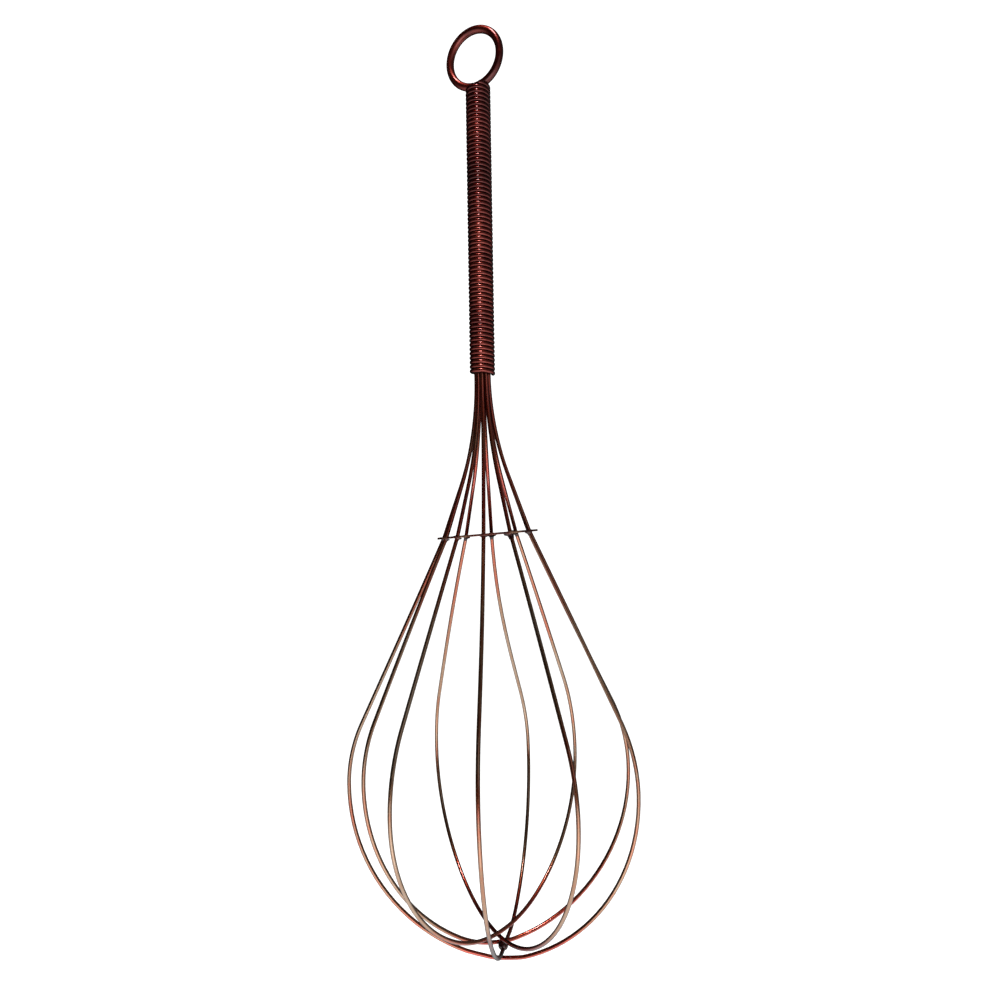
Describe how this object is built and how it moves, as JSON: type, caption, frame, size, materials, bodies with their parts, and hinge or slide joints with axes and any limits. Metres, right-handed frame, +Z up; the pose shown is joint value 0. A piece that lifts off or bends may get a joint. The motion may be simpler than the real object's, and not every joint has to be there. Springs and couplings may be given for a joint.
{
  "type": "balloon whisk",
  "caption": "Balloon whisk of bent wire loops held by a close-wound wire handle, with a spacer disc at the neck and a ring at the top to hang it by.",
  "frame": {"origin": "on the handle's line, level with the inside top of the hanging ring, where a hook bears", "axes": "+Z up the handle, from the balloon to the ring; -Y is the side the whisk is seen from, and +X is to the right as seen from there"},
  "size_m": [0.109, 0.1049, 0.358],
  "materials": {
    "tine_lacquer": "gloss",
    "handle_lacquer": "gloss",
    "ring_lacquer": "gloss",
    "disc_lacquer": "satin",
    "braze": "satin"
  },
  "bodies": {
    "root": {"hanging_ring": "ring_lacquer", "ring_braze": "braze", "core_rod": "ring_lacquer", "handle_coil": "handle_lacquer", "tine_loop_1": "tine_lacquer", "tine_loop_2": "tine_lacquer", "tine_loop_3": "tine_lacquer", "tine_loop_4": "tine_lacquer", "tine_loop_5": "tine_lacquer", "spacer_disc": "disc_lacquer", "spacer_brazes": "braze"}
  },
  "joints": []
}
